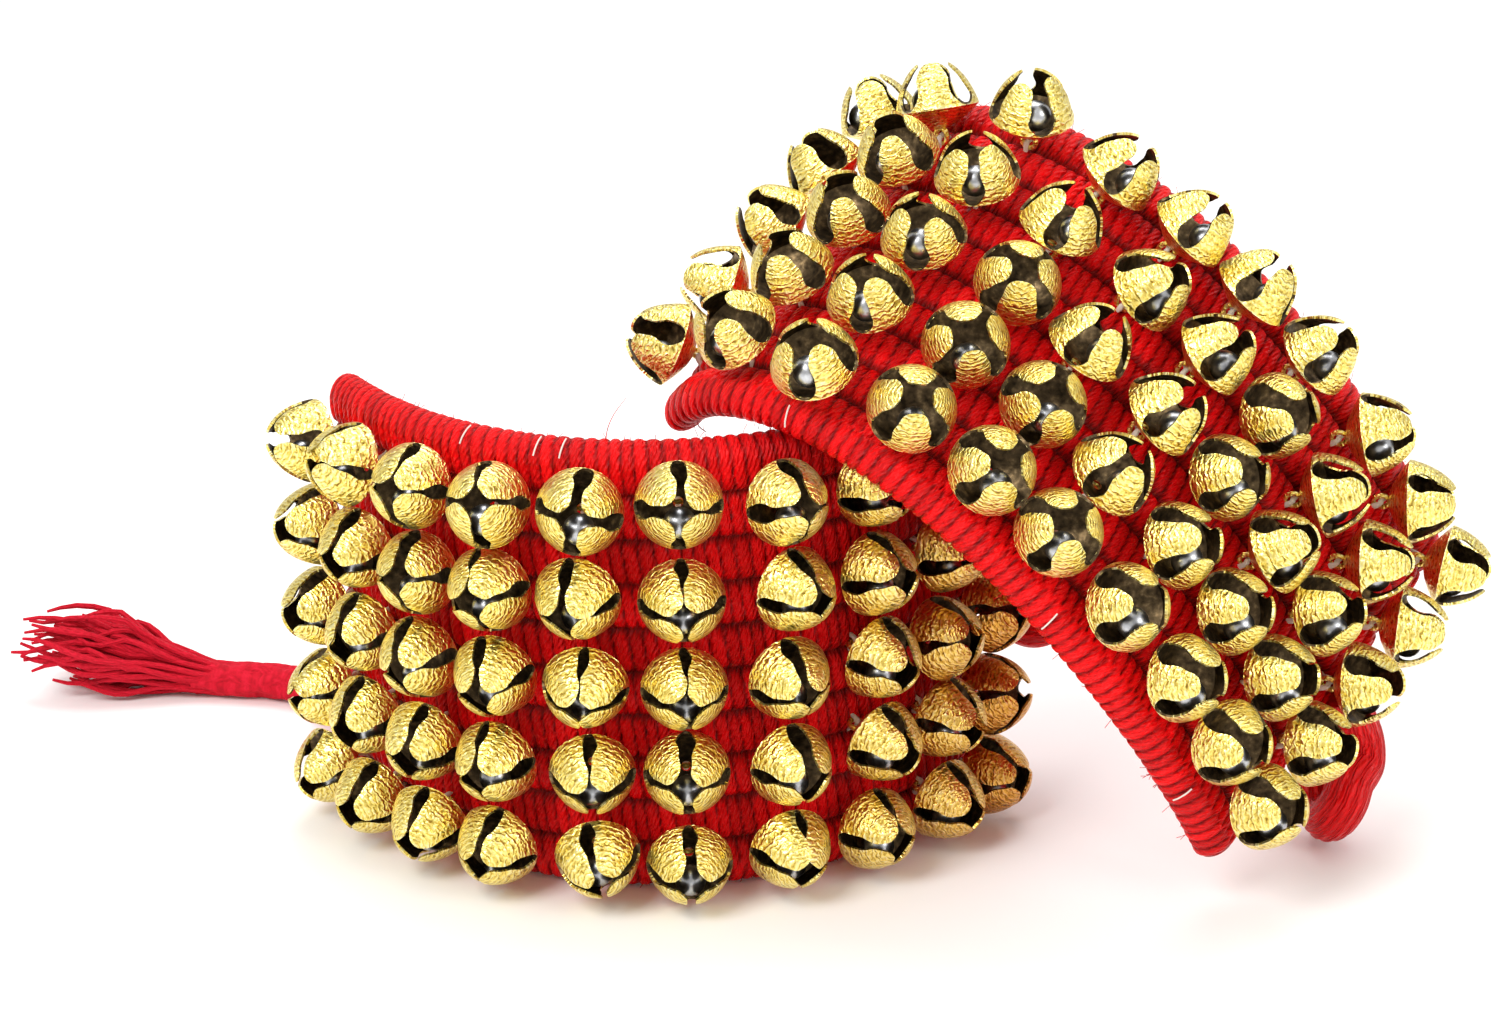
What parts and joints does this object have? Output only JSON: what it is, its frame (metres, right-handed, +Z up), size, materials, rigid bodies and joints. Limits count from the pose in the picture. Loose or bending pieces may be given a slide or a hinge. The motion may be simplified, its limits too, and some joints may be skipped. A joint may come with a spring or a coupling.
{
  "type": "ghungroo ankle bells",
  "caption": "Pair of dancer's anklets: thick woven red bands sewn with rows of slit brass jingle bells, one standing curled and one leaning on it.",
  "frame": {"origin": "middle of the pair's footprint, on the surface that it stands on, without the tie cord", "axes": "+Z up, +X from the standing anklet towards the leaning one, +Y to the open back of the standing one"},
  "size_m": [0.3351, 0.1603, 0.1601],
  "materials": {
    "red_yarn": "silky woven yarn",
    "crimson_cotton": "matte braided cotton",
    "white_thread": "twisted cotton",
    "brass_bell": "stamped, rippled and polished",
    "steel_pellet": "polished ball"
  },
  "bodies": {
    "standing": {"standing_band": "red_yarn", "standing_end_loop": "red_yarn", "standing_6_thread": "white_thread", "tie_cord": "crimson_cotton", "tassel": "crimson_cotton"},
    "leaning": {"leaning_band": "red_yarn", "leaning_end_loop": "red_yarn", "leaning_3_thread": "white_thread"},
    "standing_1_string": {"standing_1_string": "brass_bell"},
    "standing_2_string": {"standing_2_string": "brass_bell"},
    "standing_3_string": {"standing_3_string": "brass_bell"},
    "standing_4_string": {"standing_4_string": "brass_bell"},
    "standing_5_string": {"standing_5_string": "brass_bell"},
    "standing_6_bell_1": {"standing_6_bell_1": "brass_bell"},
    "standing_6_pellet_1": {"standing_6_pellet_1": "steel_pellet"},
    "standing_6_bell_2": {"standing_6_bell_2": "brass_bell"},
    "standing_6_pellet_2": {"standing_6_pellet_2": "steel_pellet"},
    "standing_6_bell_3": {"standing_6_bell_3": "brass_bell"},
    "standing_6_pellet_3": {"standing_6_pellet_3": "steel_pellet"},
    "standing_6_bell_4": {"standing_6_bell_4": "brass_bell"},
    "standing_6_pellet_4": {"standing_6_pellet_4": "steel_pellet"},
    "standing_6_bell_5": {"standing_6_bell_5": "brass_bell"},
    "standing_6_pellet_5": {"standing_6_pellet_5": "steel_pellet"},
    "standing_7_string": {"standing_7_string": "brass_bell"},
    "standing_8_string": {"standing_8_string": "brass_bell"},
    "standing_9_string": {"standing_9_string": "brass_bell"},
    "standing_10_string": {"standing_10_string": "brass_bell"},
    "leaning_1_string": {"leaning_1_string": "brass_bell"},
    "leaning_2_string": {"leaning_2_string": "brass_bell"},
    "leaning_3_bell_1": {"leaning_3_bell_1": "brass_bell"},
    "leaning_3_pellet_1": {"leaning_3_pellet_1": "steel_pellet"},
    "leaning_3_bell_2": {"leaning_3_bell_2": "brass_bell"},
    "leaning_3_pellet_2": {"leaning_3_pellet_2": "steel_pellet"},
    "leaning_3_bell_3": {"leaning_3_bell_3": "brass_bell"},
    "leaning_3_pellet_3": {"leaning_3_pellet_3": "steel_pellet"},
    "leaning_3_bell_4": {"leaning_3_bell_4": "brass_bell"},
    "leaning_3_pellet_4": {"leaning_3_pellet_4": "steel_pellet"},
    "leaning_3_bell_5": {"leaning_3_bell_5": "brass_bell"},
    "leaning_3_pellet_5": {"leaning_3_pellet_5": "steel_pellet"},
    "leaning_4_string": {"leaning_4_string": "brass_bell"},
    "leaning_5_string": {"leaning_5_string": "brass_bell"},
    "leaning_6_string": {"leaning_6_string": "brass_bell"},
    "leaning_7_string": {"leaning_7_string": "brass_bell"},
    "leaning_8_string": {"leaning_8_string": "brass_bell"},
    "leaning_9_string": {"leaning_9_string": "brass_bell"},
    "leaning_10_string": {"leaning_10_string": "brass_bell"}
  },
  "joints": [
    {"name": "leaning_lift", "type": "slide", "parent": "standing", "child": "leaning", "axis": [0, 0, 1], "range_m": [0, 0.12]},
    {"name": "standing_1_swing", "type": "hinge", "parent": "standing", "child": "standing_1_string", "pos_m": [-0.11357, 0.01542, 0.0485], "axis": [0, 0, 1], "range_deg": [-5, 5]},
    {"name": "standing_2_swing", "type": "hinge", "parent": "standing", "child": "standing_2_string", "pos_m": [-0.1039, 0.00032, 0.0485], "axis": [0, 0, 1], "range_deg": [-5, 5]},
    {"name": "standing_3_swing", "type": "hinge", "parent": "standing", "child": "standing_3_string", "pos_m": [-0.0918, -0.01343, 0.0485], "axis": [0, 0, 1], "range_deg": [-5, 5]},
    {"name": "standing_4_swing", "type": "hinge", "parent": "standing", "child": "standing_4_string", "pos_m": [-0.07681, -0.02445, 0.0485], "axis": [0, 0, 1], "range_deg": [-5, 5]},
    {"name": "standing_5_swing", "type": "hinge", "parent": "standing", "child": "standing_5_string", "pos_m": [-0.05934, -0.03133, 0.0485], "axis": [0, 0, 1], "range_deg": [-5, 5]},
    {"name": "standing_6_bell_1_swing", "type": "hinge", "parent": "standing", "child": "standing_6_bell_1", "pos_m": [-0.04056, -0.03306, 0.0861], "axis": [0, 0, 1], "range_deg": [-14, 14]},
    {"name": "standing_6_pellet_1_roll", "type": "slide", "parent": "standing_6_bell_1", "child": "standing_6_pellet_1", "axis": [-0.0091, 0.1734, 0.9848], "range_m": [0, 0.00634]},
    {"name": "standing_6_bell_2_swing", "type": "hinge", "parent": "standing", "child": "standing_6_bell_2", "pos_m": [-0.04056, -0.03306, 0.0673], "axis": [0, 0, 1], "range_deg": [-14, 14]},
    {"name": "standing_6_pellet_2_roll", "type": "slide", "parent": "standing_6_bell_2", "child": "standing_6_pellet_2", "axis": [0, 0, 1], "range_m": [0, 0.00634]},
    {"name": "standing_6_bell_3_swing", "type": "hinge", "parent": "standing", "child": "standing_6_bell_3", "pos_m": [-0.04056, -0.03306, 0.0485], "axis": [0, 0, 1], "range_deg": [-14, 14]},
    {"name": "standing_6_pellet_3_roll", "type": "slide", "parent": "standing_6_bell_3", "child": "standing_6_pellet_3", "axis": [0, 0, 1], "range_m": [0, 0.00634]},
    {"name": "standing_6_bell_4_swing", "type": "hinge", "parent": "standing", "child": "standing_6_bell_4", "pos_m": [-0.04056, -0.03306, 0.0297], "axis": [0, 0, 1], "range_deg": [-14, 14]},
    {"name": "standing_6_pellet_4_roll", "type": "slide", "parent": "standing_6_bell_4", "child": "standing_6_pellet_4", "axis": [-0.0046, 0.087, 0.9962], "range_m": [0, 0.00634]},
    {"name": "standing_6_bell_5_swing", "type": "hinge", "parent": "standing", "child": "standing_6_bell_5", "pos_m": [-0.04056, -0.03306, 0.0109], "axis": [0, 0, 1], "range_deg": [-14, 14]},
    {"name": "standing_6_pellet_5_roll", "type": "slide", "parent": "standing_6_bell_5", "child": "standing_6_pellet_5", "axis": [0.0055, -0.1044, 0.9945], "range_m": [0, 0.00634]},
    {"name": "standing_7_swing", "type": "hinge", "parent": "standing", "child": "standing_7_string", "pos_m": [-0.02209, -0.0294, 0.0485], "axis": [0, 0, 1], "range_deg": [-5, 5]},
    {"name": "standing_8_swing", "type": "hinge", "parent": "standing", "child": "standing_8_string", "pos_m": [-0.00542, -0.02092, 0.0485], "axis": [0, 0, 1], "range_deg": [-5, 5]},
    {"name": "standing_9_swing", "type": "hinge", "parent": "standing", "child": "standing_9_string", "pos_m": [0.00859, -0.00885, 0.0485], "axis": [0, 0, 1], "range_deg": [-5, 5]},
    {"name": "standing_10_swing", "type": "hinge", "parent": "standing", "child": "standing_10_string", "pos_m": [0.01987, 0.00537, 0.0485], "axis": [0, 0, 1], "range_deg": [-5, 1.5]},
    {"name": "leaning_1_swing", "type": "hinge", "parent": "leaning", "child": "leaning_1_string", "pos_m": [-0.01565, 0.0237, 0.12119], "axis": [0.5965, 0.6519, 0.4682], "range_deg": [-5, 5]},
    {"name": "leaning_2_swing", "type": "hinge", "parent": "leaning", "child": "leaning_2_string", "pos_m": [-0.00432, 0.00865, 0.1277], "axis": [0.5965, 0.6519, 0.4682], "range_deg": [-5, 5]},
    {"name": "leaning_3_bell_1_swing", "type": "hinge", "parent": "leaning", "child": "leaning_3_bell_1", "pos_m": [0.03281, 0.02059, 0.14408], "axis": [0.5965, 0.6519, 0.4682], "range_deg": [-14, 14]},
    {"name": "leaning_3_pellet_1_roll", "type": "slide", "parent": "leaning_3_bell_1", "child": "leaning_3_pellet_1", "axis": [-0.1633, 0.9355, 0.3132], "range_m": [0, 0.00634]},
    {"name": "leaning_3_bell_2_swing", "type": "hinge", "parent": "leaning", "child": "leaning_3_bell_2", "pos_m": [0.02159, 0.00833, 0.13528], "axis": [0.5965, 0.6519, 0.4682], "range_deg": [-14, 14]},
    {"name": "leaning_3_pellet_2_roll", "type": "slide", "parent": "leaning_3_bell_2", "child": "leaning_3_pellet_2", "axis": [0.1657, 0.8536, 0.4939], "range_m": [0, 0.00634]},
    {"name": "leaning_3_bell_3_swing", "type": "hinge", "parent": "leaning", "child": "leaning_3_bell_3", "pos_m": [0.01038, -0.00392, 0.12648], "axis": [0.5965, 0.6519, 0.4682], "range_deg": [-14, 14]},
    {"name": "leaning_3_pellet_3_roll", "type": "slide", "parent": "leaning_3_bell_3", "child": "leaning_3_pellet_3", "axis": [0.2231, 0.788, 0.5739], "range_m": [0, 0.00634]},
    {"name": "leaning_3_bell_4_swing", "type": "hinge", "parent": "leaning", "child": "leaning_3_bell_4", "pos_m": [-0.00084, -0.01618, 0.11768], "axis": [0.5965, 0.6519, 0.4682], "range_deg": [-14, 14]},
    {"name": "leaning_3_pellet_4_roll", "type": "slide", "parent": "leaning_3_bell_4", "child": "leaning_3_pellet_4", "axis": [0.2298, 0.7763, 0.5869], "range_m": [0, 0.00634]},
    {"name": "leaning_3_bell_5_swing", "type": "hinge", "parent": "leaning", "child": "leaning_3_bell_5", "pos_m": [-0.01205, -0.02843, 0.10887], "axis": [0.5965, 0.6519, 0.4682], "range_deg": [-14, 14]},
    {"name": "leaning_3_pellet_5_roll", "type": "slide", "parent": "leaning_3_bell_5", "child": "leaning_3_pellet_5", "axis": [0.2531, 0.716, 0.6506], "range_m": [0, 0.00634]},
    {"name": "leaning_4_swing", "type": "hinge", "parent": "leaning", "child": "leaning_4_string", "pos_m": [0.02555, -0.01295, 0.11971], "axis": [0.5965, 0.6519, 0.4682], "range_deg": [-5, 5]},
    {"name": "leaning_5_swing", "type": "hinge", "parent": "leaning", "child": "leaning_5_string", "pos_m": [0.03986, -0.01868, 0.10947], "axis": [0.5965, 0.6519, 0.4682], "range_deg": [-5, 5]},
    {"name": "leaning_6_swing", "type": "hinge", "parent": "leaning", "child": "leaning_6_string", "pos_m": [0.05292, -0.0218, 0.09716], "axis": [0.5965, 0.6519, 0.4682], "range_deg": [-5, 5]},
    {"name": "leaning_7_swing", "type": "hinge", "parent": "leaning", "child": "leaning_7_string", "pos_m": [0.06476, -0.0229, 0.08363], "axis": [0.5965, 0.6519, 0.4682], "range_deg": [-5, 5]},
    {"name": "leaning_8_swing", "type": "hinge", "parent": "leaning", "child": "leaning_8_string", "pos_m": [0.07547, -0.0224, 0.06928], "axis": [0.5965, 0.6519, 0.4682], "range_deg": [-5, 5]},
    {"name": "leaning_9_swing", "type": "hinge", "parent": "leaning", "child": "leaning_9_string", "pos_m": [0.08506, -0.0204, 0.05428], "axis": [0.5965, 0.6519, 0.4682], "range_deg": [-5, 5]},
    {"name": "leaning_10_swing", "type": "hinge", "parent": "leaning", "child": "leaning_10_string", "pos_m": [0.09336, -0.0168, 0.03869], "axis": [0.5965, 0.6519, 0.4682], "range_deg": [-5, 1.5]}
  ]
}
